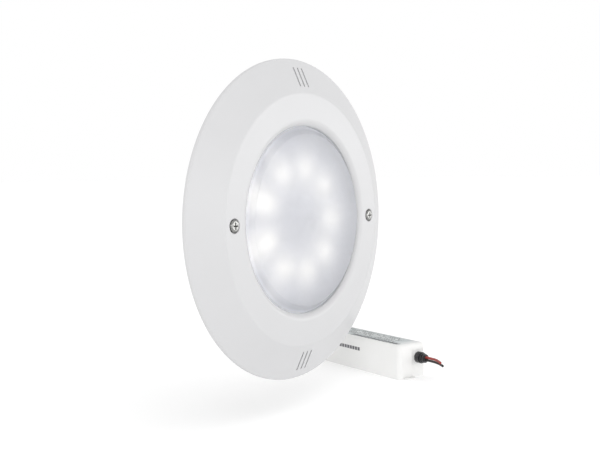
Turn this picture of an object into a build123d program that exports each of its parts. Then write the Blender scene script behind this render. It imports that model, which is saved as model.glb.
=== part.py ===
from build123d import *
import os
from math import cos, pi, radians, sin, sqrt, tan

os.makedirs("parts", exist_ok=True)

# Underwater pool light with its electronic driver.
# Frame: the lamp looks along -Y, +Z is up, +X is to the right seen from the front.
# Origin: centre of the four wall screws, on the wall plane y = 0.
# "h" is the height in front of the wall plane, so y = -h.  Plane.XZ faces -Y,
# which makes Plane.XZ.offset(h) the plane at height h.

# ---------------------------------------------------------------- driving sizes
# face ring
RING_R = 135.0            # outer radius
RIM_H = 2.6               # height of the outer rim wall
TIER_R = 106.0            # radius where the cone meets the flat face
FACE_H = 16.2             # height of the flat face
HOLE_R = 78.8             # radius of the window
COLLAR_H = 12.4           # lower end of the collar around the window
LIP_W = 6.0               # width of the rolled lip around the window
LIP_H = 3.1               # how far the lip rolls down
SHELL = 3.0               # wall of the ring
SLOT_PITCH = 5.7          # water slots at 12 and 6 o'clock
SLOT_L = 16.6
SLOT_W = 1.7
SLOT_R = 119.3            # radius of the slots' centres
SCREW_R = 95.1            # radius of the two face screws
# face screws, M5 pan head
HEAD_R = 4.95
HEAD_H = 3.0
HEAD_SEAT_H = 14.2
SHANK_R = 2.5
# mounting ring
MOUNT_IN_R = 89.0
MOUNT_OUT_R = 125.0
MOUNT_T = 3.0
WALL_PCD = 220.0          # circle of the wall screws
WALL_HOLE_R = 2.75
INSERT_R = 3.6
INSERT_TOP = 6.4
# lamp housing
CUP_R = 80.0
CUP_IN_R = 77.2
FLANGE_R = 88.4
FLANGE_TOP = 7.0
CUP_BACK = -31.0
CLAMP_SCREW_R = 85.0
# lens
LENS_R = 78.2
LENS_TOP = 21.5           # crown height
LENS_SPHERE = 650.0       # radius of the crown's sphere
LENS_WALL = 2.6
LENS_EDGE_R = 72.2        # the crown ends here and a bevel runs down to the side wall
LENS_BEVEL_H = 11.6       # lower end of the bevel
# light engine
LED_R = 44.4
LED_COUNT = 9
BOARD_TOP = 3.9
# driver, in its own directions: width, length, height
DRV_X, DRV_Y, DRV_Z = 147.9, -16.7, -165.3   # near bottom front corner
DRV_HEADING = 18.1        # degrees, its length turned from +Y towards +X
DRV_W = 36.0
DRV_L = 150.0
DRV_H = 34.0
BASE_T = 2.0
LEAD_D = 2.4              # output leads

# ------------------------------------------------------------------- mounting ring
with BuildPart() as mounting_ring:
    with BuildSketch(Plane.XZ):
        Circle(MOUNT_OUT_R)
        Circle(MOUNT_IN_R, mode=Mode.SUBTRACT)
    extrude(amount=MOUNT_T)
    fillet(mounting_ring.edges().filter_by(GeomType.CIRCLE).group_by(Axis.Y)[0].sort_by(SortBy.RADIUS)[-1], 1.0)
    # raised hub around the opening, and a boss under each face screw
    with BuildSketch(Plane.XZ.offset(MOUNT_T)):
        Circle(MOUNT_IN_R + 2.4)
        Circle(MOUNT_IN_R, mode=Mode.SUBTRACT)
    extrude(amount=2.4)
    with BuildSketch(Plane.XZ.offset(MOUNT_T)):
        with Locations((-SCREW_R, 0), (SCREW_R, 0)):
            Circle(6.1)
        Circle(MOUNT_IN_R, mode=Mode.SUBTRACT)
    extrude(amount=INSERT_TOP - MOUNT_T)
    # stiffening rib near the outer edge
    with BuildSketch(Plane.XZ.offset(MOUNT_T)):
        Circle(119.0)
        Circle(116.6, mode=Mode.SUBTRACT)
    extrude(amount=1.6)
    # seats of the threaded inserts
    with BuildSketch(Plane.XZ):
        with Locations((-SCREW_R, 0), (SCREW_R, 0)):
            Circle(INSERT_R)
    extrude(amount=INSERT_TOP, mode=Mode.SUBTRACT)
    # wall screw holes
    with BuildSketch(Plane.XZ):
        with PolarLocations(WALL_PCD / 2, 4, start_angle=45):
            Circle(WALL_HOLE_R)
    extrude(amount=8, mode=Mode.SUBTRACT)
    # drain slots at top and bottom
    with BuildSketch(Plane.XZ):
        with Locations((0, 104.5), (0, -104.5)):
            SlotOverall(30, 7)
    extrude(amount=8, mode=Mode.SUBTRACT)
mounting_ring.part.label = "mounting_ring"
export_step(mounting_ring.part, "parts/mounting_ring.step")

with BuildPart() as threaded_inserts:
    with BuildSketch(Plane.XZ):
        with Locations((-SCREW_R, 0), (SCREW_R, 0)):
            Circle(INSERT_R)
            Circle(SHANK_R + 0.06, mode=Mode.SUBTRACT)
    extrude(amount=INSERT_TOP)
threaded_inserts.part.label = "threaded_inserts"
export_step(threaded_inserts.part, "parts/threaded_inserts.step")

# ----------------------------------------------------------------------- face ring
with BuildPart() as face_ring:
    with BuildSketch(Plane.XY):
        with BuildLine():
            TangentArc(
                (HOLE_R + LIP_W, -FACE_H),
                (HOLE_R, -(FACE_H - LIP_H)),
                tangent=(-1, 0),
            )
            Polyline(
                (HOLE_R + LIP_W, -FACE_H),
                (TIER_R, -FACE_H),
                (RING_R, -RIM_H),
                (RING_R, 0),
                (RING_R - 3.4, 0),
                (RING_R - 3.4, -1.0),
                (TIER_R - 0.8, -(FACE_H - SHELL)),
                (HOLE_R + 2.8, -(FACE_H - SHELL)),
                (HOLE_R + 2.8, -COLLAR_H),
                (HOLE_R, -COLLAR_H),
                (HOLE_R, -(FACE_H - LIP_H)),
            )
        make_face()
        fillet([v for v in vertices() if abs(v.X - RING_R) < 0.01 and abs(v.Y + RIM_H) < 0.01], 1.6)
        fillet([v for v in vertices() if abs(v.X - TIER_R) < 0.01 and abs(v.Y + FACE_H) < 0.01], 4.0)
    revolve(axis=Axis.Y, revolution_arc=360)
    # screw bosses below the flat face
    with BuildSketch(Plane.XZ.offset(8.0)):
        with Locations((-SCREW_R, 0), (SCREW_R, 0)):
            Circle(6.4)
    extrude(amount=FACE_H - SHELL - 8.0 + 0.5)
    # round seats for the screw heads, and their clearance holes
    with BuildSketch(Plane.XZ.offset(HEAD_SEAT_H)):
        with Locations((-SCREW_R, 0), (SCREW_R, 0)):
            Circle(5.7)
    extrude(amount=6, mode=Mode.SUBTRACT)
    with BuildSketch(Plane.XZ.offset(7.0)):
        with Locations((-SCREW_R, 0), (SCREW_R, 0)):
            Circle(2.75)
    extrude(amount=10, mode=Mode.SUBTRACT)
    # three water slots at 12 o'clock and three at 6 o'clock
    with BuildSketch(Plane.XZ.offset(-1)):
        with Locations((0, SLOT_R), (0, -SLOT_R)):
            with GridLocations(SLOT_PITCH, 1, 3, 1):
                SlotOverall(SLOT_L, SLOT_W, rotation=90)
    extrude(amount=24, mode=Mode.SUBTRACT)
    # soft edge around each screw seat
    seat_edges = [
        e
        for e in edges().filter_by(GeomType.CIRCLE)
        if abs(e.radius - 5.7) < 0.01 and abs(e.center().Y + FACE_H) < 0.01
    ]
    fillet(seat_edges, 0.5)
face_ring.part.label = "face_ring"
export_step(face_ring.part, "parts/face_ring.step")

# ----------------------------------------------- face screws and their retainers
for side, x in (("left", -SCREW_R), ("right", SCREW_R)):
    with BuildPart() as ring_screw:
        with BuildSketch(Plane.XZ.offset(HEAD_SEAT_H)):
            with Locations((x, 0)):
                Circle(HEAD_R)
        extrude(amount=HEAD_H)
        fillet(edges().filter_by(GeomType.CIRCLE).group_by(Axis.Y)[0], 1.6)
        with BuildSketch(Plane.XZ.offset(0.6)):
            with Locations((x, 0)):
                Circle(SHANK_R)
        extrude(amount=HEAD_SEAT_H - 0.6)
        chamfer(edges().filter_by(GeomType.CIRCLE).group_by(Axis.Y)[-1], 0.8)
        # cross recess, tapering towards its bottom
        with BuildSketch(Plane.XZ.offset(HEAD_SEAT_H + HEAD_H)):
            with Locations((x, 0)):
                Rectangle(5.6, 1.15)
                Rectangle(1.15, 5.6)
        extrude(amount=-1.9, taper=12, mode=Mode.SUBTRACT)
    ring_screw.part.label = f"ring_screw_{side}"
    export_step(ring_screw.part, f"parts/ring_screw_{side}.step")

    with BuildPart() as retainer:
        with BuildSketch(Plane.XZ.offset(6.8)):
            with Locations((x, 0)):
                Circle(4.6)
                Circle(SHANK_R, mode=Mode.SUBTRACT)
        extrude(amount=0.9)
    retainer.part.label = f"screw_retainer_{side}"
    export_step(retainer.part, f"parts/screw_retainer_{side}.step")

# --------------------------------------------------------------------------- lens
def crown(top, r):
    """Height of a spherical crown at radius r, its centre on the lamp's axis."""
    return top - LENS_SPHERE + sqrt(LENS_SPHERE**2 - r**2)


LENS_IN_R = LENS_R - LENS_WALL - 0.2
LENS_IN_TOP = LENS_TOP - LENS_WALL
LENS_IN_EDGE = 70.6
with BuildPart() as lens_dome:
    with BuildSketch(Plane.XY):
        with BuildLine():
            Line((0, -LENS_IN_TOP), (0, -LENS_TOP))
            ThreePointArc(
                (0, -LENS_TOP),
                (LENS_EDGE_R / 2, -crown(LENS_TOP, LENS_EDGE_R / 2)),
                (LENS_EDGE_R, -crown(LENS_TOP, LENS_EDGE_R)),
            )
            Polyline(
                (LENS_EDGE_R, -crown(LENS_TOP, LENS_EDGE_R)),
                (LENS_R, -LENS_BEVEL_H),
                (LENS_R, -10.2),
                (81.2, -10.2),
                (81.2, -8.0),
                (LENS_IN_R, -8.0),
                (LENS_IN_R, -10.6),
                (LENS_IN_EDGE, -crown(LENS_IN_TOP, LENS_IN_EDGE)),
            )
            ThreePointArc(
                (LENS_IN_EDGE, -crown(LENS_IN_TOP, LENS_IN_EDGE)),
                (LENS_IN_EDGE / 2, -crown(LENS_IN_TOP, LENS_IN_EDGE / 2)),
                (0, -LENS_IN_TOP),
            )
        make_face()
        fillet([v for v in vertices() if abs(v.X - LENS_EDGE_R) < 0.01 and v.Y < -15], 0.9)
        fillet([v for v in vertices() if abs(v.X - LENS_R) < 0.01 and abs(v.Y + LENS_BEVEL_H) < 0.01], 2.2)
        fillet([v for v in vertices() if abs(v.X - LENS_IN_R) < 0.01 and v.Y < -9], 1.5)
        fillet([v for v in vertices() if abs(v.X - LENS_IN_EDGE) < 0.01 and v.Y < -9], 1.5)
    revolve(axis=Axis.Y, revolution_arc=360)
lens_dome.part.label = "lens_dome"
export_step(lens_dome.part, "parts/lens_dome.step")

with BuildPart() as lens_gasket:
    with BuildSketch(Plane.XZ.offset(FLANGE_TOP)):
        Circle(81.0)
        Circle(77.8, mode=Mode.SUBTRACT)
    extrude(amount=1.0)
lens_gasket.part.label = "lens_gasket"
export_step(lens_gasket.part, "parts/lens_gasket.step")

# --------------------------------------------------------------------- clamp ring
with BuildPart() as clamp_ring:
    with BuildSketch(Plane.XY):
        with BuildLine():
            Polyline(
                (78.6, -10.2),
                (78.6, -12.0),
                (FLANGE_R, -12.0),
                (FLANGE_R, -FLANGE_TOP),
                (81.6, -FLANGE_TOP),
                (81.6, -10.2),
                close=True,
            )
        make_face()
    revolve(axis=Axis.Y, revolution_arc=360)
    with BuildSketch(Plane.XZ.offset(FLANGE_TOP)):
        with PolarLocations(CLAMP_SCREW_R, 8, start_angle=22.5):
            Circle(1.65)
    extrude(amount=6, mode=Mode.SUBTRACT)
    with BuildSketch(Plane.XZ.offset(9.9)):
        with PolarLocations(CLAMP_SCREW_R, 8, start_angle=22.5):
            Circle(3.0)
    extrude(amount=4, mode=Mode.SUBTRACT)
clamp_ring.part.label = "clamp_ring"
export_step(clamp_ring.part, "parts/clamp_ring.step")

with BuildPart() as clamp_screws:
    with BuildSketch(Plane.XZ.offset(9.9)):
        with PolarLocations(CLAMP_SCREW_R, 8, start_angle=22.5):
            Circle(2.7)
    extrude(amount=1.9)
    fillet(edges().filter_by(GeomType.CIRCLE).group_by(Axis.Y)[0], 0.7)
    with BuildSketch(Plane.XZ.offset(0.4)):
        with PolarLocations(CLAMP_SCREW_R, 8, start_angle=22.5):
            Circle(1.5)
    extrude(amount=9.5)
    with BuildSketch(Plane.XZ.offset(11.8)):
        with PolarLocations(CLAMP_SCREW_R, 8, start_angle=22.5):
            Rectangle(3.0, 0.7)
            Rectangle(0.7, 3.0)
    extrude(amount=-1.0, mode=Mode.SUBTRACT)
clamp_screws.part.label = "clamp_screws"
export_step(clamp_screws.part, "parts/clamp_screws.step")

# ------------------------------------------------------------------- rear housing
POST_R = 66.0             # radius of the posts under the heat spreader
PCB_POST_R = 46.0         # radius of the posts under the circuit board
GLAND_R = 8.0             # thread radius of the cable gland
with BuildPart() as rear_housing:
    with BuildSketch(Plane.XY):
        with BuildLine():
            Polyline(
                (GLAND_R + 0.05, -CUP_BACK),
                (CUP_R, -CUP_BACK),
                (CUP_R, -3.8),
                (FLANGE_R, -3.8),
                (FLANGE_R, -FLANGE_TOP),
                (CUP_IN_R, -FLANGE_TOP),
                (CUP_IN_R, -(CUP_BACK + 3.4)),
                (GLAND_R + 0.05, -(CUP_BACK + 3.4)),
                close=True,
            )
        make_face()
        fillet([v for v in vertices() if abs(v.X - CUP_R) < 0.01 and v.Y > 20], 8.0)
        fillet([v for v in vertices() if abs(v.X - CUP_IN_R) < 0.01 and v.Y > 20], 5.0)
    revolve(axis=Axis.Y, revolution_arc=360)
    # screw bosses under the flange
    with BuildSketch(Plane.XZ.offset(-2.0)):
        with PolarLocations(CLAMP_SCREW_R, 8, start_angle=22.5):
            Circle(3.2)
        Circle(CUP_R - 0.5, mode=Mode.SUBTRACT)
    extrude(amount=6.0)
    with BuildSketch(Plane.XZ.offset(0.4)):
        with PolarLocations(CLAMP_SCREW_R, 8, start_angle=22.5):
            Circle(1.5)
    extrude(amount=8.0, mode=Mode.SUBTRACT)
    # posts inside
    with BuildSketch(Plane.XZ.offset(CUP_BACK + 3.4)):
        with PolarLocations(POST_R, 4, start_angle=45):
            Circle(5.0)
    extrude(amount=-1.7 - (CUP_BACK + 3.4))
    with BuildSketch(Plane.XZ.offset(CUP_BACK + 3.4)):
        with PolarLocations(PCB_POST_R, 4):
            Circle(3.2)
    extrude(amount=-14.0 - (CUP_BACK + 3.4))
    with BuildSketch(Plane.XZ.offset(-12.0)):
        with PolarLocations(POST_R, 4, start_angle=45):
            Circle(1.5)
    extrude(amount=12, mode=Mode.SUBTRACT)
    with BuildSketch(Plane.XZ.offset(-20.0)):
        with PolarLocations(PCB_POST_R, 4):
            Circle(1.25)
    extrude(amount=8, mode=Mode.SUBTRACT)
    # cooling ribs on the back
    with BuildSketch(Plane.XZ.offset(CUP_BACK)):
        with PolarLocations(45.0, 16, start_angle=11.25):
            SlotOverall(46, 2.6)
    extrude(amount=-3.4)
rear_housing.part.label = "rear_housing"
export_step(rear_housing.part, "parts/rear_housing.step")

# ------------------------------------------------------------------- light engine
with BuildPart() as heat_spreader:
    with BuildSketch(Plane.XZ.offset(-1.7)):
        Circle(76.6)
        with PolarLocations(POST_R, 4, start_angle=45):
            Circle(1.7, mode=Mode.SUBTRACT)
        with Locations((24, 0)):
            Rectangle(7, 13, mode=Mode.SUBTRACT)
    extrude(amount=4.0)
    # cooling pins on its back
    with BuildSketch(Plane.XZ.offset(-1.7)):
        with PolarLocations(60.0, 24, start_angle=7.5):
            SlotOverall(10, 2)
    extrude(amount=-5.0)
heat_spreader.part.label = "heat_spreader"
export_step(heat_spreader.part, "parts/heat_spreader.step")

with BuildPart() as led_board:
    with BuildSketch(Plane.XZ.offset(2.3)):
        Circle(74.5)
        with PolarLocations(POST_R, 4, start_angle=45):
            Circle(1.7, mode=Mode.SUBTRACT)
    extrude(amount=BOARD_TOP - 2.3)
led_board.part.label = "led_board"
export_step(led_board.part, "parts/led_board.step")

with BuildPart() as leds:
    with BuildSketch(Plane.XZ.offset(BOARD_TOP)):
        with PolarLocations(LED_R, LED_COUNT):
            Rectangle(5, 5)
    extrude(amount=1.0)
    with BuildSketch(Plane.XZ.offset(BOARD_TOP + 1.0)):
        with PolarLocations(LED_R, LED_COUNT):
            Circle(2.1)
    extrude(amount=0.4, taper=20)
leds.part.label = "leds"
export_step(leds.part, "parts/leds.step")

with BuildPart() as reflector_plate:
    with BuildSketch(Plane.XZ.offset(BOARD_TOP)):
        Circle(74.0)
        with PolarLocations(LED_R, LED_COUNT):
            Rectangle(8, 8, mode=Mode.SUBTRACT)
        with PolarLocations(POST_R, 4, start_angle=45):
            Circle(1.7, mode=Mode.SUBTRACT)
    extrude(amount=0.8)
    # sloping wall around the edge
    with BuildSketch(Plane.XY):
        with BuildLine():
            Polyline(
                (71.2, -(BOARD_TOP + 0.8)),
                (73.2, -(BOARD_TOP + 3.6)),
                (74.0, -(BOARD_TOP + 3.6)),
                (74.0, -(BOARD_TOP + 0.8)),
                close=True,
            )
        make_face()
    revolve(axis=Axis.Y, revolution_arc=360)
reflector_plate.part.label = "reflector_plate"
export_step(reflector_plate.part, "parts/reflector_plate.step")

with BuildPart() as spreader_screws:
    with BuildSketch(Plane.XZ.offset(BOARD_TOP + 0.8)):
        with PolarLocations(POST_R, 4, start_angle=45):
            Circle(2.7)
    extrude(amount=1.8)
    fillet(edges().filter_by(GeomType.CIRCLE).group_by(Axis.Y)[0], 0.7)
    with BuildSketch(Plane.XZ.offset(-9.0)):
        with PolarLocations(POST_R, 4, start_angle=45):
            Circle(1.5)
    extrude(amount=BOARD_TOP + 0.8 + 9.0)
spreader_screws.part.label = "spreader_screws"
export_step(spreader_screws.part, "parts/spreader_screws.step")

# ---------------------------------------------------------- electronics in the lamp
PCB_H = -14.0
with BuildPart() as circuit_board:
    with BuildSketch(Plane.XZ.offset(PCB_H)):
        Circle(52)
        with PolarLocations(PCB_POST_R, 4):
            Circle(1.5, mode=Mode.SUBTRACT)
    extrude(amount=1.6)
circuit_board.part.label = "circuit_board"
export_step(circuit_board.part, "parts/circuit_board.step")

with BuildPart() as board_screws:
    with BuildSketch(Plane.XZ.offset(PCB_H + 1.6)):
        with PolarLocations(PCB_POST_R, 4):
            Circle(2.3)
    extrude(amount=1.5)
    with BuildSketch(Plane.XZ.offset(PCB_H - 5.0)):
        with PolarLocations(PCB_POST_R, 4):
            Circle(1.25)
    extrude(amount=6.6)
board_screws.part.label = "board_screws"
export_step(board_screws.part, "parts/board_screws.step")

with BuildPart() as rectifier:
    with BuildSketch(Plane.XZ.offset(PCB_H + 1.6)):
        with Locations((-24, 14)):
            Rectangle(15, 15)
    extrude(amount=4.0)
    chamfer(edges().filter_by(Axis.Y).sort_by(Axis.X)[-1], 2.0)
rectifier.part.label = "rectifier"
export_step(rectifier.part, "parts/rectifier.step")

with BuildPart() as lamp_capacitors:
    with BuildSketch(Plane.XZ.offset(PCB_H + 1.6)):
        with Locations((-24, -14), (-8, -24), (8, 26)):
            Circle(5.0)
    extrude(amount=5.6)
    fillet(edges().filter_by(GeomType.CIRCLE).group_by(Axis.Y)[0], 0.6)
lamp_capacitors.part.label = "lamp_capacitors"
export_step(lamp_capacitors.part, "parts/lamp_capacitors.step")

with BuildPart() as lamp_choke:
    with BuildSketch(Plane.XZ.offset(PCB_H + 1.6)):
        with Locations((12, -24)):
            Circle(7.0)
            Circle(3.0, mode=Mode.SUBTRACT)
    extrude(amount=5.5)
    fillet(edges().filter_by(GeomType.CIRCLE), 1.2)
lamp_choke.part.label = "lamp_choke"
export_step(lamp_choke.part, "parts/lamp_choke.step")

with BuildPart() as board_connector:
    with BuildSketch(Plane.XZ.offset(PCB_H + 1.6)):
        with Locations((24, 0)):
            Rectangle(6, 12)
    extrude(amount=2.3 - (PCB_H + 1.6))
board_connector.part.label = "board_connector"
export_step(board_connector.part, "parts/board_connector.step")

with BuildPart() as potting_resin:
    with BuildSketch(Plane.XZ.offset(CUP_BACK + 3.4)):
        Circle(72.0)
        Circle(15.0, mode=Mode.SUBTRACT)
        with PolarLocations(POST_R, 4, start_angle=45):
            Circle(5.0, mode=Mode.SUBTRACT)
        with PolarLocations(PCB_POST_R, 4):
            Circle(3.2, mode=Mode.SUBTRACT)
    extrude(amount=9.0)
potting_resin.part.label = "potting_resin"
export_step(potting_resin.part, "parts/potting_resin.step")

# -------------------------------------------------------------------- cable gland
CABLE_R = 4.3
with BuildPart() as gland_body:
    with BuildSketch(Plane.XZ.offset(-32.0)):
        Circle(GLAND_R)
    extrude(amount=8.0)
    with BuildSketch(Plane.XZ.offset(-36.5)):
        RegularPolygon(radius=11.0, side_count=6, major_radius=False)
    extrude(amount=4.5)
    with BuildSketch(Plane.XZ.offset(-44.0)):
        Circle(8.4)
    extrude(amount=7.5)
    with BuildSketch(Plane.XZ.offset(-44.0)):
        Circle(6.6)
    extrude(amount=7.0, mode=Mode.SUBTRACT)
    with BuildSketch(Plane.XZ.offset(-44.0)):
        Circle(CABLE_R + 0.3)
    extrude(amount=21.0, mode=Mode.SUBTRACT)
gland_body.part.label = "gland_body"
export_step(gland_body.part, "parts/gland_body.step")

with BuildPart() as gland_washer:
    with BuildSketch(Plane.XZ.offset(-32.0)):
        Circle(10.8)
        Circle(GLAND_R + 0.05, mode=Mode.SUBTRACT)
    extrude(amount=1.0)
gland_washer.part.label = "gland_washer"
export_step(gland_washer.part, "parts/gland_washer.step")

with BuildPart() as gland_locknut:
    with BuildSketch(Plane.XZ.offset(CUP_BACK + 3.4)):
        RegularPolygon(radius=11.0, side_count=6, major_radius=False)
        Circle(GLAND_R + 0.05, mode=Mode.SUBTRACT)
    extrude(amount=3.0)
gland_locknut.part.label = "gland_locknut"
export_step(gland_locknut.part, "parts/gland_locknut.step")

with BuildPart() as gland_seal:
    with BuildSketch(Plane.XZ.offset(-45.0)):
        Circle(6.6)
        Circle(CABLE_R, mode=Mode.SUBTRACT)
    extrude(amount=8.0)
gland_seal.part.label = "gland_seal"
export_step(gland_seal.part, "parts/gland_seal.step")

with BuildPart() as gland_nut:
    with BuildSketch(Plane.XZ.offset(-49.0)):
        Circle(11.0)
    extrude(amount=12.0)
    fillet(edges().filter_by(GeomType.CIRCLE).group_by(Axis.Y)[-1], 3.0)
    with BuildSketch(Plane.XZ.offset(-45.0)):
        Circle(8.45)
    extrude(amount=8.0, mode=Mode.SUBTRACT)
    with BuildSketch(Plane.XZ.offset(-49.0)):
        Circle(CABLE_R + 0.5)
    extrude(amount=5.0, mode=Mode.SUBTRACT)
    with BuildSketch(Plane.XZ.offset(-46.0)):
        with PolarLocations(11.4, 12):
            Circle(1.2)
    extrude(amount=9.0, mode=Mode.SUBTRACT)
gland_nut.part.label = "gland_nut"
export_step(gland_nut.part, "parts/gland_nut.step")

# ------------------------------------------------------------------------- driver
TH = radians(DRV_HEADING)
DRV = Plane(origin=(DRV_X, DRV_Y, DRV_Z), x_dir=(cos(TH), -sin(TH), 0), z_dir=(0, 0, 1))
CASE_TOP = DRV_H
GL_A, GL_C = 28.2, 19.4   # centre of the output bushing on the near end
IN_A, IN_C = 18.0, 18.0   # centre of the input bushing on the far end
NEAR = Plane(origin=DRV.from_local_coords(Vector(GL_A, 0, GL_C)), x_dir=DRV.x_dir, z_dir=-DRV.y_dir)
FAR = Plane(origin=DRV.from_local_coords(Vector(IN_A, DRV_L, IN_C)), x_dir=-DRV.x_dir, z_dir=DRV.y_dir)
STEP_A = 17.0             # the end face steps back beyond this width
STEP_D = 2.6

with BuildPart() as driver_case:
    with BuildSketch(DRV.offset(BASE_T)):
        with Locations((DRV_W / 2, DRV_L / 2)):
            RectangleRounded(DRV_W, DRV_L, 4.6)
    extrude(amount=DRV_H - BASE_T)
    fillet(faces().sort_by(Axis.Z)[-1].edges(), 3.8)
    # the near end steps back around the output bushing
    with BuildSketch(NEAR):
        with Locations(((STEP_A + DRV_W + 8) / 2 - GL_A, 14.0 - GL_C)):
            Rectangle(DRV_W + 8 - STEP_A, 28.0)
    extrude(amount=-STEP_D, mode=Mode.SUBTRACT)
    # hollow, open at the bottom
    with BuildSketch(DRV.offset(BASE_T)):
        with Locations((DRV_W / 2, DRV_L / 2)):
            RectangleRounded(DRV_W - 4.4, DRV_L - 9.0, 2.0)
    extrude(amount=DRV_H - BASE_T - 2.6, mode=Mode.SUBTRACT)
    # holes of the two bushings
    with BuildSketch(NEAR.offset(1.0)):
        Circle(3.4)
    extrude(amount=-6.0, mode=Mode.SUBTRACT)
    with BuildSketch(FAR.offset(1.0)):
        Circle(4.4)
    extrude(amount=-6.0, mode=Mode.SUBTRACT)
    # shallow bed of the top label
    with BuildSketch(DRV.offset(DRV_H)):
        with Locations((DRV_W / 2, DRV_L / 2)):
            RectangleRounded(DRV_W - 7.6, DRV_L - 9.0, 1.5)
    extrude(amount=-0.5, mode=Mode.SUBTRACT)
driver_case.part.label = "driver_case"
export_step(driver_case.part, "parts/driver_case.step")

with BuildPart() as driver_label:
    with BuildSketch(DRV.offset(DRV_H - 0.5)):
        with Locations((DRV_W / 2, DRV_L / 2)):
            RectangleRounded(DRV_W - 8.0, DRV_L - 9.4, 1.3)
    extrude(amount=0.3)
driver_label.part.label = "driver_label"
export_step(driver_label.part, "parts/driver_label.step")

TAB_A = 12.0              # fixing tabs, one at each end, on opposite halves
TAB_OUT = 2.6             # screw hole beyond the end of the case
with BuildPart() as driver_base:
    with BuildSketch(DRV):
        with Locations((DRV_W / 2, DRV_L / 2)):
            RectangleRounded(DRV_W, DRV_L, 4.6)
        with Locations(((STEP_A + DRV_W + 8) / 2, STEP_D - 10.0)):
            Rectangle(DRV_W + 8 - STEP_A, 20.0, mode=Mode.SUBTRACT)
        with Locations((TAB_A, 1.6), (DRV_W - TAB_A, DRV_L - 1.6)):
            RectangleRounded(11.0, 17.4, 4.0)
        with Locations((TAB_A, -TAB_OUT), (DRV_W - TAB_A, DRV_L + TAB_OUT)):
            Circle(1.75, mode=Mode.SUBTRACT)
    extrude(amount=BASE_T)
    # posts that carry the circuit board
    with BuildSketch(DRV.offset(BASE_T)):
        with Locations((DRV_W / 2, DRV_L / 2)):
            with GridLocations(20, 118, 2, 2):
                Circle(2.0)
    extrude(amount=4.0)
driver_base.part.label = "driver_base"
export_step(driver_base.part, "parts/driver_base.step")

with BuildPart() as driver_board:
    with BuildSketch(DRV.offset(BASE_T + 4.0)):
        with Locations((DRV_W / 2, DRV_L / 2)):
            Rectangle(27, 132)
    extrude(amount=1.6)
driver_board.part.label = "driver_board"
export_step(driver_board.part, "parts/driver_board.step")

BOARD_Z = BASE_T + 5.6
with BuildPart() as driver_transformer:
    with BuildSketch(DRV.offset(BOARD_Z)):
        with Locations((DRV_W / 2, 78)):
            Rectangle(20, 22)
    extrude(amount=4)
    with BuildSketch(DRV.offset(BOARD_Z + 4)):
        with Locations((DRV_W / 2, 78)):
            Rectangle(15, 19)
    extrude(amount=9)
    with BuildSketch(DRV.offset(BOARD_Z + 13)):
        with Locations((DRV_W / 2, 78)):
            Rectangle(20, 22)
    extrude(amount=4)
driver_transformer.part.label = "driver_transformer"
export_step(driver_transformer.part, "parts/driver_transformer.step")

with BuildPart() as driver_capacitors:
    with BuildSketch(DRV.offset(BOARD_Z)):
        with Locations((12, 108), (12, 42), (19, 24)):
            Circle(5.0)
    extrude(amount=18)
    fillet(edges().filter_by(GeomType.CIRCLE).group_by(Axis.Z)[-1], 0.6)
driver_capacitors.part.label = "driver_capacitors"
export_step(driver_capacitors.part, "parts/driver_capacitors.step")

with BuildPart() as driver_choke:
    with BuildSketch(DRV.offset(BOARD_Z)):
        with Locations((DRV_W / 2, 126)):
            Circle(8.0)
            Circle(3.4, mode=Mode.SUBTRACT)
    extrude(amount=9)
    fillet(edges().filter_by(GeomType.CIRCLE), 1.6)
driver_choke.part.label = "driver_choke"
export_step(driver_choke.part, "parts/driver_choke.step")

with BuildPart() as driver_heatsink:
    with BuildSketch(DRV.offset(BOARD_Z)):
        with Locations((28.0, 46)):
            Rectangle(2.0, 32)
    extrude(amount=19)
driver_heatsink.part.label = "driver_heatsink"
export_step(driver_heatsink.part, "parts/driver_heatsink.step")

# output bushing: a fluted cap, then a ribbed sleeve; it sits in the stepped end
TAIL_END = 8.8           # the leads leave here, measured from the case end
with BuildPart() as output_bushing:
    with BuildSketch(NEAR.offset(-STEP_D)):
        Circle(5.6)
        with PolarLocations(6.1, 10):
            Circle(0.9, mode=Mode.SUBTRACT)
    extrude(amount=STEP_D + 3.0)
    with BuildSketch(NEAR.offset(-STEP_D)):
        Circle(3.4)
    extrude(amount=-3.6)
    with BuildSketch(NEAR.offset(3.0)):
        Circle(3.2)
    extrude(amount=TAIL_END - 3.0)
    for k in range(2):
        with BuildSketch(NEAR.offset(4.2 + 2.4 * k)):
            Circle(4.8 - 0.5 * k)
        extrude(amount=1.4)
output_bushing.part.label = "output_bushing"
export_step(output_bushing.part, "parts/output_bushing.step")

with BuildPart() as input_bushing:
    with BuildSketch(FAR):
        Circle(7.0)
        Circle(3.3, mode=Mode.SUBTRACT)
    extrude(amount=4.0)
    with BuildSketch(FAR):
        Circle(4.4)
        Circle(3.3, mode=Mode.SUBTRACT)
    extrude(amount=-4.5)
input_bushing.part.label = "input_bushing"
export_step(input_bushing.part, "parts/input_bushing.step")

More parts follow.
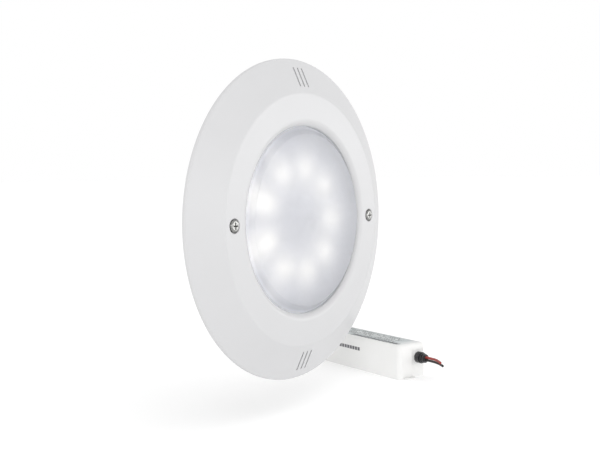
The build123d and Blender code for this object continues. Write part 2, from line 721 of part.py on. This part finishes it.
# ---------------------------------------------------------------------- leads
# Each lead is straight runs joined by tangent arcs.  Points are (width, out of the
# end, height) in the driver's own directions.
LEAD_ROUTES = {
    "red_lead": [
        (28.2, -TAIL_END, 20.7),
        (28.2, -16.4, 20.7),
        (26.3, -23.9, 21.2),
        (23.5, -30.9, 21.3),
        (19.8, -37.4, 21.1),
    ],
    "black_lead": [
        (28.2, -TAIL_END, 18.1),
        (28.2, -16.6, 18.1),
        (26.8, -24.3, 18.3),
        (24.6, -31.8, 18.3),
        (21.5, -38.8, 18.1),
    ],
}
for name, route in LEAD_ROUTES.items():
    pts = [DRV.from_local_coords(Vector(*p)) for p in route]
    runs = [(b - a).length for a, b in zip(pts, pts[1:])]
    turns = [(b - a).get_angle(c - b) for a, b, c in zip(pts, pts[1:], pts[2:])]
    radii = [0.45 * min(r0, r1) / tan(radians(t) / 2) for r0, r1, t in zip(runs, runs[1:], turns)]
    with BuildPart() as lead:
        with BuildLine() as path:
            FilletPolyline(*pts, radius=radii)
        route_wire = path.wires()[0]
        with BuildSketch(Plane(origin=route_wire @ 0, z_dir=route_wire % 0)):
            Circle(LEAD_D / 2)
        sweep()
    length = route_wire.length
    print(name, "runs", [round(r, 1) for r in runs], "turns", [round(t, 1) for t in turns],
          "radii", [round(r, 1) for r in radii], "length", round(length, 2),
          "volume", round(lead.part.volume, 2), "section x length", round(pi * LEAD_D**2 / 4 * length, 2))
    print(name, "route in metres", [tuple(round(c / 1000, 5) for c in tuple(p)) for p in pts])
    lead.part.label = name
    export_step(lead.part, f"parts/{name}.step")
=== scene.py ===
import math
import random

import bpy
from mathutils import Matrix, Vector


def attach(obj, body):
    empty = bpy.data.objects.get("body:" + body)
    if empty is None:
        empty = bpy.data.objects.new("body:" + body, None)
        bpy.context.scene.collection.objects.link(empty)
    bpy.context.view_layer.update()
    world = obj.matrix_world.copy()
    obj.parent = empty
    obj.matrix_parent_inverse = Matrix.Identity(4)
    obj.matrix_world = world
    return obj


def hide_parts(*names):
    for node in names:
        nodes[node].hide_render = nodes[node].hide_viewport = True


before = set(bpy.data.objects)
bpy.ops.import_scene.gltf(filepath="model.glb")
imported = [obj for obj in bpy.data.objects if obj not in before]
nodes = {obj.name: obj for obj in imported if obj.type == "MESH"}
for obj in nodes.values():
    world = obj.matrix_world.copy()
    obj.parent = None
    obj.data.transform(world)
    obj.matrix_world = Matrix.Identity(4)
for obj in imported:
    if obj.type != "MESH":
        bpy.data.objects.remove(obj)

random.seed(7)
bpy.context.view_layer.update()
scene = bpy.context.scene
scene.view_settings.view_transform = "Standard"
scene.view_settings.look = "None"
scene.view_settings.exposure = 0.0
scene.view_settings.gamma = 1.0

# ------------------------------------------------------------------ driver's frame
TH = math.radians(18.1)
DRV_O = Vector((0.1479, -0.0167, -0.1653))
DRV_W = Vector((math.cos(TH), -math.sin(TH), 0))
DRV_L = Vector((math.sin(TH), math.cos(TH), 0))
FLOOR_Z = -0.1653


def drv(a, b, c):
    """A point in the driver's own directions, in millimetres, as a point in the row frame."""
    return DRV_O + (DRV_W * a + DRV_L * b + Vector((0, 0, c))) / 1000


# ------------------------------------------------------------------------- camera
YAW, PITCH, ROLL = 0.9349915752, -0.0574840053, -0.0116314844
forward = Vector((math.sin(YAW) * math.cos(PITCH), math.cos(YAW) * math.cos(PITCH), math.sin(PITCH)))
right0 = Vector((math.cos(YAW), -math.sin(YAW), 0))
up0 = right0.cross(forward)
right = right0 * math.cos(ROLL) + up0 * math.sin(ROLL)
up = -right0 * math.sin(ROLL) + up0 * math.cos(ROLL)
cam_data = bpy.data.cameras.new("camera")
cam_data.sensor_width = 36
cam_data.lens = 52.94153
cam_data.clip_start = 0.01
cam_data.clip_end = 100
cam = bpy.data.objects.new("camera", cam_data)
scene.collection.objects.link(cam)
turn = Matrix((right, up, -forward)).transposed().to_4x4()
cam.matrix_world = Matrix.Translation(Vector((-0.59934183, -0.44936015, 0.03851852))) @ turn
scene.camera = cam


# ------------------------------------------------------------- material helpers
class Mat:
    """A material being built: short calls for the nodes that are used over and over."""

    def __init__(self, name):
        self.m = bpy.data.materials.new(name)
        self.m.use_nodes = True
        self.t = self.m.node_tree
        self.t.nodes.clear()
        self.out = self.t.nodes.new("ShaderNodeOutputMaterial")
        self.p = self.t.nodes.new("ShaderNodeBsdfPrincipled")
        self.t.links.new(self.p.outputs[0], self.out.inputs[0])
        self.c = self.t.nodes.new("ShaderNodeTexCoord").outputs["Object"]

    def node(self, kind, **settings):
        n = self.t.nodes.new(kind)
        for k, v in settings.items():
            setattr(n, k, v)
        return n

    def put(self, socket, value):
        if isinstance(value, bpy.types.NodeSocket):
            self.t.links.new(value, socket)
        else:
            socket.default_value = value

    def set(self, **values):
        for k, v in values.items():
            self.put(self.p.inputs[k.replace("_", " ")], v)
        return self

    def math(self, op, a, b=0.0, c=0.0, clamp=False):
        n = self.node("ShaderNodeMath", operation=op, use_clamp=clamp)
        for i, v in enumerate((a, b, c)):
            self.put(n.inputs[i], v)
        return n.outputs[0]

    def vmath(self, op, a, b=(0, 0, 0)):
        n = self.node("ShaderNodeVectorMath", operation=op)
        self.put(n.inputs[0], a)
        self.put(n.inputs[1], b)
        return n.outputs["Value"] if op in ("DOT_PRODUCT", "LENGTH", "DISTANCE") else n.outputs["Vector"]

    def xyz(self, v=None):
        n = self.node("ShaderNodeSeparateXYZ")
        self.put(n.inputs[0], self.c if v is None else v)
        return n.outputs[0], n.outputs[1], n.outputs[2]

    def noise(self, scale, detail=3.0, rough=0.55, v=None, kind="Fac"):
        n = self.node("ShaderNodeTexNoise")
        self.put(n.inputs["Vector"], self.c if v is None else v)
        n.inputs["Scale"].default_value = scale
        n.inputs["Detail"].default_value = detail
        n.inputs["Roughness"].default_value = rough
        return n.outputs[kind]

    def voronoi(self, scale, v=None, feature="F1", out="Distance"):
        n = self.node("ShaderNodeTexVoronoi", feature=feature)
        self.put(n.inputs["Vector"], self.c if v is None else v)
        n.inputs["Scale"].default_value = scale
        return n.outputs[out]

    def ramp(self, fac, stops, smooth=False):
        n = self.node("ShaderNodeValToRGB")
        if smooth:
            n.color_ramp.interpolation = "EASE"
        e = n.color_ramp.elements
        while len(e) < len(stops):
            e.new(0.5)
        for el, (pos, col) in zip(e, stops):
            el.position = pos
            el.color = (*col, 1) if hasattr(col, "__len__") else (col, col, col, 1)
        self.put(n.inputs[0], fac)
        return n.outputs[0]

    def mix(self, fac, a, b):
        n = self.node("ShaderNodeMix", data_type="RGBA")
        self.put(n.inputs[0], fac)
        for i, v in ((6, a), (7, b)):
            if not isinstance(v, bpy.types.NodeSocket) and len(v) == 3:
                v = (*v, 1)
            self.put(n.inputs[i], v)
        return n.outputs[2]

    def range(self, value, a, b, c, d):
        n = self.node("ShaderNodeMapRange")
        for i, v in enumerate((value, a, b, c, d)):
            self.put(n.inputs[i], v)
        return n.outputs[0]

    def bump(self, height, strength=0.2, distance=0.0002, normal=None):
        n = self.node("ShaderNodeBump")
        n.inputs["Strength"].default_value = strength
        n.inputs["Distance"].default_value = distance
        self.put(n.inputs["Height"], height)
        if normal is not None:
            self.put(n.inputs["Normal"], normal)
        return n.outputs[0]


def use(material, *names):
    for name in names:
        o = nodes[name]
        o.data.materials.clear()
        o.data.materials.append(material.m)


def smooth(o):
    """Smooth shading with sharp edges kept, without touching the vertices."""
    for poly in o.data.polygons:
        poly.use_smooth = True


def plastic(name, colour, rough=0.38, grain=1800.0, grain_depth=0.00003, mottle=0.02, specular=0.45, tint=None):
    """Moulded plastic: spark-eroded grain, slight flow mottling and a little uneven gloss."""
    m = Mat(name)
    flow = m.noise(22.0, 4.0, 0.6)
    fine = m.noise(grain, 2.0, 0.5)
    dark = tuple(max(0.0, c * (1 - mottle * 2)) for c in colour)
    light = tuple(min(1.0, c * (1 + mottle)) for c in colour)
    base = m.mix(m.range(flow, 0.3, 0.7, 0.0, 1.0), dark, light)
    gloss = m.math("ADD", m.range(flow, 0.25, 0.75, rough - 0.04, rough + 0.05), m.range(fine, 0.3, 0.7, -0.03, 0.03))
    m.set(Base_Color=base, Roughness=gloss, Normal=m.bump(fine, 0.25, grain_depth))
    m.p.inputs["Specular IOR Level"].default_value = specular
    return m


# ---------------------------------------------------------------- face ring plastic
ring = plastic("ring_plastic", (0.546, 0.546, 0.553), rough=0.36, grain=1500.0, grain_depth=0.00002, mottle=0.006, specular=0.36)
use(ring, "face_ring")
use(plastic("clamp_plastic", (0.60, 0.61, 0.63), rough=0.45, mottle=0.02), "clamp_ring")
use(plastic("charcoal_plastic", (0.045, 0.046, 0.05), rough=0.48, grain=1300.0, grain_depth=0.00005, mottle=0.1), "mounting_ring", "rear_housing")

# --------------------------------------------------------------------- bright steel
steel = Mat("stainless")
x, y, z = steel.xyz()
turned = steel.noise(2600.0, 2.0, 0.6, v=steel.vmath("MULTIPLY", steel.c, (0.25, 1, 1)))
fleck = steel.noise(700.0, 3.0, 0.6)
steel.set(
    Base_Color=steel.mix(steel.range(fleck, 0.35, 0.65, 0, 1), (0.20, 0.20, 0.195), (0.33, 0.33, 0.32)),
    Roughness=steel.range(turned, 0.3, 0.7, 0.16, 0.3),
    Normal=steel.bump(turned, 0.2, 0.00001),
)
steel.p.inputs["Metallic"].default_value = 1.0
use(steel, "ring_screw_left", "ring_screw_right")

zinc = Mat("zinc_steel")
bright = zinc.noise(700.0, 3.0, 0.6)
zinc.set(
    Base_Color=zinc.mix(zinc.range(bright, 0.35, 0.65, 0, 1), (0.72, 0.73, 0.75), (0.84, 0.85, 0.87)),
    Roughness=zinc.range(bright, 0.3, 0.7, 0.34, 0.46),
)
zinc.p.inputs["Metallic"].default_value = 1.0
use(zinc, "clamp_screws", "spreader_screws", "board_screws")

brass = Mat("brass")
brass.set(
    Base_Color=brass.mix(brass.noise(300.0, 3.0), (0.62, 0.42, 0.15), (0.78, 0.58, 0.26)),
    Roughness=brass.range(brass.noise(1500.0, 2.0), 0.3, 0.7, 0.22, 0.4),
)
brass.p.inputs["Metallic"].default_value = 1.0
use(brass, "threaded_inserts")

alu = Mat("aluminium")
streak = alu.noise(900.0, 3.0, 0.6, v=alu.vmath("MULTIPLY", alu.c, (1, 1, 0.06)))
alu.set(
    Base_Color=alu.mix(streak, (0.62, 0.63, 0.64), (0.78, 0.79, 0.80)),
    Roughness=alu.range(streak, 0.3, 0.7, 0.28, 0.45),
    Normal=alu.bump(streak, 0.15, 0.00002),
)
alu.p.inputs["Metallic"].default_value = 1.0
use(alu, "heat_spreader", "driver_heatsink")

# ------------------------------------------------------------ glow painted on the lamp's inner parts
LED_R = 0.0444


def glow_field(m, wide, radius=LED_R):
    """How near a point is to the closest of the nine light sources, from 0 to 1, in the plane of the light engine."""
    x, y, z = m.xyz()
    r = m.math("SQRT", m.math("ADD", m.math("MULTIPLY", x, x), m.math("MULTIPLY", z, z)))
    angle = m.math("ARCTAN2", z, x)
    step = math.radians(40)
    fold = m.math("SUBTRACT", m.math("FLOORED_MODULO", m.math("ADD", angle, step / 2 + 9 * step), step), step / 2)
    across = m.math("MULTIPLY", r, m.math("SINE", fold))
    along = m.math("SUBTRACT", m.math("MULTIPLY", r, m.math("COSINE", fold)), radius)
    d2 = m.math("ADD", m.math("MULTIPLY", across, across), m.math("MULTIPLY", along, along))
    return m.math("EXPONENT", m.math("MULTIPLY", d2, -1.0 / wide**2)), r


def lit(name, base, rough, low=(0.575, 0.582, 0.64), high=(1.0, 0.955, 0.83), floor=0.207, peak=0.85, wide=0.0158):
    """Emission painted on an inner surface for the LEDs' light seen through the frosted lens: nine soft spots, a haze
    between them, dimmer in the middle, with a painted glow along the left side, painted light on the left rim and
    painted shade on the right rim.
    """
    m = Mat(name)
    near, r = glow_field(m, wide)
    haze, r = glow_field(m, wide * 1.9)
    painted_wall_glow, r = glow_field(m, 0.0165, 0.061)
    core = m.math("EXPONENT", m.math("MULTIPLY", m.math("MULTIPLY", r, r), -1.0 / 0.021**2))
    x, y, z = m.xyz()
    # painted: the spots brighter towards the right and towards the bottom
    near = m.math("MULTIPLY", near, m.math("MULTIPLY", m.range(x, -0.045, 0.045, 0.92, 1.30), m.range(z, -0.045, 0.02, 1.12, 1.0)))
    spread = m.math("ADD", m.math("MULTIPLY", near, 0.69), m.math("MULTIPLY", haze, 0.31))
    # painted glow along the lens's left side wall, where there is no light source
    side = m.range(x, -0.050, -0.020, 1.0, 0.0)
    spread = m.math("ADD", spread, m.math("MULTIPLY", m.math("MULTIPLY", painted_wall_glow, side), 0.52))
    spread = m.math("ADD", spread, m.math("MULTIPLY", core, 0.19))
    # painted light on the rim at the left, painted shade on the rim at the right
    rim = m.range(r, 0.052, 0.074, 0.0, 1.0)
    edge = m.math("MULTIPLY", rim, m.math("SUBTRACT", m.math("MULTIPLY", m.range(x, -0.070, 0.010, 1.0, 0.0), 0.80), 0.35))
    fine = m.noise(900.0, 2.0)
    m.set(
        Base_Color=m.mix(m.range(fine, 0.3, 0.7, 0, 1), tuple(c * 0.97 for c in base), base),
        Roughness=m.range(fine, 0.3, 0.7, rough - 0.05, rough + 0.05),
        Emission_Color=m.mix(m.math("ADD", spread, m.math("MULTIPLY", m.math("MAXIMUM", edge, 0.0), 0.5), clamp=True), low, high),
        Emission_Strength=m.math("MAXIMUM", m.math("ADD", m.math("ADD", m.math("MULTIPLY", spread, peak), floor), m.math("MULTIPLY", edge, 0.45)), 0.05),
    )
    return m


# Painted light: the reflector plate and the board glow as if lit by the LEDs, which are the only lamps here.
use(lit("lit_reflector", (0.80, 0.80, 0.82), 0.5), "reflector_plate")
use(lit("lit_board", (0.80, 0.80, 0.82), 0.45), "led_board")
use(lit("lit_leds", (0.9, 0.87, 0.7), 0.3, peak=1.1), "leds")

# --------------------------------------------------------------------------- lens
lens = Mat("frosted_lens")
ripple = lens.noise(160.0, 3.0, 0.5)
fine = lens.noise(2200.0, 2.0, 0.5)
lens.set(
    Base_Color=lens.mix(lens.range(ripple, 0.3, 0.7, 0, 1), (0.745, 0.753, 0.783), (0.77, 0.778, 0.808)),
    Roughness=lens.range(fine, 0.3, 0.7, 0.44, 0.52),
    Normal=lens.bump(fine, 0.12, 0.00002),
)
lens.p.inputs["Transmission Weight"].default_value = 0.8
rx, ry, rz = lens.xyz()
out = lens.math("SQRT", lens.math("ADD", lens.math("MULTIPLY", rx, rx), lens.math("MULTIPLY", rz, rz)))
# Painted glow on the lens rim beyond r = 75 mm, brightening the dark line at its edge; the lens is no lamp.
painted_rim_glow = lens.math("MULTIPLY", lens.range(out, 0.0752, 0.0776, 0.0, 1.0), lens.range(ripple, 0.3, 0.7, 0.85, 1.0))
lens.set(Emission_Color=lens.mix(painted_rim_glow, (0.80, 0.82, 0.88), (0.86, 0.87, 0.90)), Emission_Strength=lens.math("MULTIPLY", painted_rim_glow, 0.24))
lens.p.inputs["IOR"].default_value = 1.49
use(lens, "lens_dome")

# --------------------------------------------------------------- hidden inner pieces
rubber = Mat("silicone")
rubber.set(Base_Color=rubber.mix(rubber.noise(200.0), (0.55, 0.56, 0.58), (0.64, 0.65, 0.67)), Roughness=rubber.range(rubber.noise(1200.0), 0.3, 0.7, 0.6, 0.75))
use(rubber, "lens_gasket", "gland_washer")
use(plastic("natural_nylon", (0.8, 0.77, 0.68), rough=0.5), "screw_retainer_left", "screw_retainer_right")
use(plastic("board_green", (0.03, 0.2, 0.07), rough=0.35, mottle=0.08), "circuit_board", "driver_board")
use(plastic("black_epoxy", (0.03, 0.03, 0.033), rough=0.5, mottle=0.1), "rectifier", "board_connector", "driver_transformer")
use(plastic("capacitor_sleeve", (0.03, 0.04, 0.13), rough=0.3), "lamp_capacitors", "driver_capacitors")
use(plastic("potting", (0.06, 0.06, 0.065), rough=0.3, mottle=0.1), "potting_resin")
use(plastic("seal_rubber", (0.03, 0.03, 0.03), rough=0.7), "gland_seal")
wire = Mat("copper_winding")
xw, yw, zw = wire.xyz()
turns = wire.math("SINE", wire.math("MULTIPLY", wire.math("ARCTAN2", zw, xw), 400.0))
wire.set(Base_Color=wire.mix(wire.range(turns, -1, 1, 0, 1), (0.3, 0.1, 0.03), (0.6, 0.28, 0.12)), Roughness=wire.range(wire.noise(900.0), 0.3, 0.7, 0.25, 0.4), Normal=wire.bump(turns, 0.3, 0.0001))
use(wire, "lamp_choke", "driver_choke")

# --------------------------------------------------------------- black nylon mouldings
black = plastic("black_nylon", (0.030, 0.030, 0.033), rough=0.29, grain=1200.0, grain_depth=0.00004, mottle=0.15, specular=0.6)
use(black, "gland_body", "gland_locknut", "gland_nut", "output_bushing", "input_bushing")

# ------------------------------------------------------------------------- driver
def in_driver(m):
    """The point in the driver's own directions, in millimetres: width, length, height."""
    rel = m.vmath("SUBTRACT", m.c, tuple(DRV_O))
    a = m.math("MULTIPLY", m.vmath("DOT_PRODUCT", rel, tuple(DRV_W)), 1000.0)
    b = m.math("MULTIPLY", m.vmath("DOT_PRODUCT", rel, tuple(DRV_L)), 1000.0)
    c = m.math("MULTIPLY", m.vmath("DOT_PRODUCT", rel, (0, 0, 1)), 1000.0)
    return a, b, c


label = Mat("label_print")
la, lb, lc = in_driver(label)


def bars(m, u, v, pitch_u, pitch_v, thick, long, share, seed):
    """Rows of short bars that stand for small print, none of it letters: 1 where a bar is."""
    row = m.math("FLOOR", m.math("DIVIDE", u, pitch_u))
    shifted = m.math("ADD", m.math("DIVIDE", v, pitch_v), m.math("MULTIPLY", row, 0.37))
    both = m.node("ShaderNodeCombineXYZ")
    m.put(both.inputs[0], m.math("ADD", row, seed))
    m.put(both.inputs[1], m.math("FLOOR", shifted))
    white = m.node("ShaderNodeTexWhiteNoise", noise_dimensions="2D")
    m.put(white.inputs["Vector"], both.outputs[0])
    there = m.math("LESS_THAN", white.outputs["Value"], share)
    in_row = m.math("LESS_THAN", m.math("ABSOLUTE", m.math("SUBTRACT", m.math("FRACT", m.math("DIVIDE", u, pitch_u)), 0.5)), thick / 2)
    in_bar = m.math("LESS_THAN", m.math("ABSOLUTE", m.math("SUBTRACT", m.math("FRACT", shifted), 0.5)), long / 2)
    return m.math("MULTIPLY", there, m.math("MULTIPLY", in_row, in_bar))


def inside(m, u, u0, u1, v, v0, v1):
    a = m.math("LESS_THAN", m.math("ABSOLUTE", m.math("SUBTRACT", u, (u0 + u1) / 2)), (u1 - u0) / 2)
    b = m.math("LESS_THAN", m.math("ABSOLUTE", m.math("SUBTRACT", v, (v0 + v1) / 2)), (v1 - v0) / 2)
    return m.math("MULTIPLY", a, b)


fine_print = label.math("MULTIPLY", bars(label, la, lb, 2.3, 3.4, 0.52, 0.82, 0.7, 0), inside(label, la, 12.4, 30.6, lb, 22.0, 138.0))
big_print = label.math("MULTIPLY", bars(label, label.math("SUBTRACT", la, 4.2), lb, 7.0, 5.6, 0.88, 0.76, 0.90, 5), inside(label, la, 4.2, 11.2, lb, 9.0, 82.0))
ink = label.math("MAXIMUM", fine_print, big_print)
foil = label.noise(60.0, 4.0, 0.6)
ground = label.mix(label.range(foil, 0.3, 0.7, 0, 1), (0.43, 0.465, 0.47), (0.52, 0.555, 0.56))
panel = label.math("MULTIPLY", inside(label, la, 16.0, 27.0, lb, 26.0, 96.0), label.range(foil, 0.3, 0.7, 0.65, 1.0))
ground = label.mix(panel, ground, (0.60, 0.62, 0.62))
strip = label.math("MULTIPLY", label.range(lb, 9.0, 17.0, 1.0, 0.0), 0.85)
ground = label.mix(strip, ground, (0.68, 0.69, 0.69))
label.set(
    Base_Color=label.mix(ink, ground, (0.045, 0.052, 0.056)),
    Roughness=label.range(foil, 0.3, 0.7, 0.42, 0.55),
)
use(label, "driver_label")

case = Mat("driver_plastic")
ca, cb, cc = in_driver(case)
flow = case.noise(22.0, 4.0, 0.6)
spark = case.noise(1700.0, 2.0, 0.5)
plain = case.mix(case.range(flow, 0.3, 0.7, 0, 1), (0.745, 0.745, 0.736), (0.77, 0.77, 0.761))
mark = case.math("MULTIPLY", bars(case, case.math("SUBTRACT", cc, 19.6), cb, 4.4, 4.3, 0.80, 0.83, 0.97, 2), inside(case, cc, 19.6, 24.0, cb, 60.5, 104.0))
mark = case.math("MULTIPLY", mark, case.math("LESS_THAN", ca, 0.6))
case.set(
    Base_Color=case.mix(mark, plain, (0.12, 0.12, 0.13)),
    Roughness=case.range(case.math("ADD", flow, case.math("MULTIPLY", spark, 0.3)), 0.4, 0.9, 0.42, 0.54),
    Normal=case.bump(spark, 0.25, 0.00006),
)
case.p.inputs["Specular IOR Level"].default_value = 0.4
use(case, "driver_case", "driver_base")

# --------------------------------------------------------------------------- leads
RED = [(0.17197, -0.03383, -0.1446), (0.16961, -0.04105, -0.1446), (0.16547, -0.04759, -0.1441), (0.16064, -0.05337, -0.144), (0.1551, -0.0584, -0.1442)]
BLACK = [(0.17197, -0.03383, -0.1472), (0.16955, -0.04124, -0.1472), (0.16582, -0.04812, -0.147), (0.1614, -0.05457, -0.147), (0.15628, -0.06026, -0.1472)]


def lead(name, route, material, node):
    curve = bpy.data.curves.new(name, "CURVE")
    curve.dimensions = "3D"
    spline = curve.splines.new("NURBS")
    spline.points.add(len(route) - 1)
    for p, q in zip(spline.points, route):
        p.co = (*q, 1.0)
    spline.order_u = 3
    spline.use_endpoint_u = True
    curve.bevel_depth = 0.0012
    curve.bevel_resolution = 6
    curve.resolution_u = 24
    curve.use_fill_caps = True
    o = bpy.data.objects.new(name, curve)
    scene.collection.objects.link(o)
    curve.materials.append(material.m)
    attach(o, "driver")
    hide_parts(node)
    return o


red = plastic("red_pvc", (0.30, 0.035, 0.028), rough=0.4, mottle=0.08)
dark = plastic("black_pvc", (0.02, 0.018, 0.018), rough=0.4, mottle=0.15)
red_lead = lead("red_wire", RED, red, "red_lead")
black_lead = lead("black_wire", BLACK, dark, "black_lead")

# --------------------------------------------------------------------- smooth shading
for o in nodes.values():
    smooth(o)

# ------------------------------------------------------------------ floor and light
mesh = bpy.data.meshes.new("floor")
s = 30.0
mesh.from_pydata([(-s, -s, FLOOR_Z), (s, -s, FLOOR_Z), (s, s, FLOOR_Z), (-s, s, FLOOR_Z)], [], [(0, 1, 2, 3)])
floor = bpy.data.objects.new("floor", mesh)
scene.collection.objects.link(floor)
paper = Mat("studio_paper")
paper.set(Base_Color=(0.98, 0.98, 0.98, 1), Roughness=0.9, Emission_Color=(1, 1, 1, 1), Emission_Strength=0.07)
paper.p.inputs["Specular IOR Level"].default_value = 0.1
mesh.materials.append(paper.m)

world = bpy.data.worlds.new("studio")
scene.world = world
world.use_nodes = True
sky = world.node_tree.nodes["Background"]
sky.inputs[0].default_value = (1, 1, 1, 1)
sky.inputs[1].default_value = 1.0


def softbox(name, where, at, size, power, colour=(1, 1, 1)):
    light = bpy.data.lights.new(name, "AREA")
    light.shape = "RECTANGLE"
    light.size, light.size_y = size
    light.energy = power
    light.color = colour
    o = bpy.data.objects.new(name, light)
    scene.collection.objects.link(o)
    o.location = where
    o.rotation_mode = "QUATERNION"
    o.rotation_quaternion = (Vector(at) - Vector(where)).to_track_quat("-Z", "Y")
    return o


softbox("left", (-2.5, -1.1, 0.75), (0.1, 0, -0.05), (0.7, 0.7), 14.0)
softbox("rim", (-2.6, 0.7, 0.0), (0, 0, 0), (0.9, 0.9), 6.0)
softbox("right", (2.4, -2.0, 0.0), (0, 0, 0), (1.1, 1.1), 17.0)
softbox("front", (0.3, -2.9, 0.1), (0, 0, 0), (1.4, 1.4), 17.5)
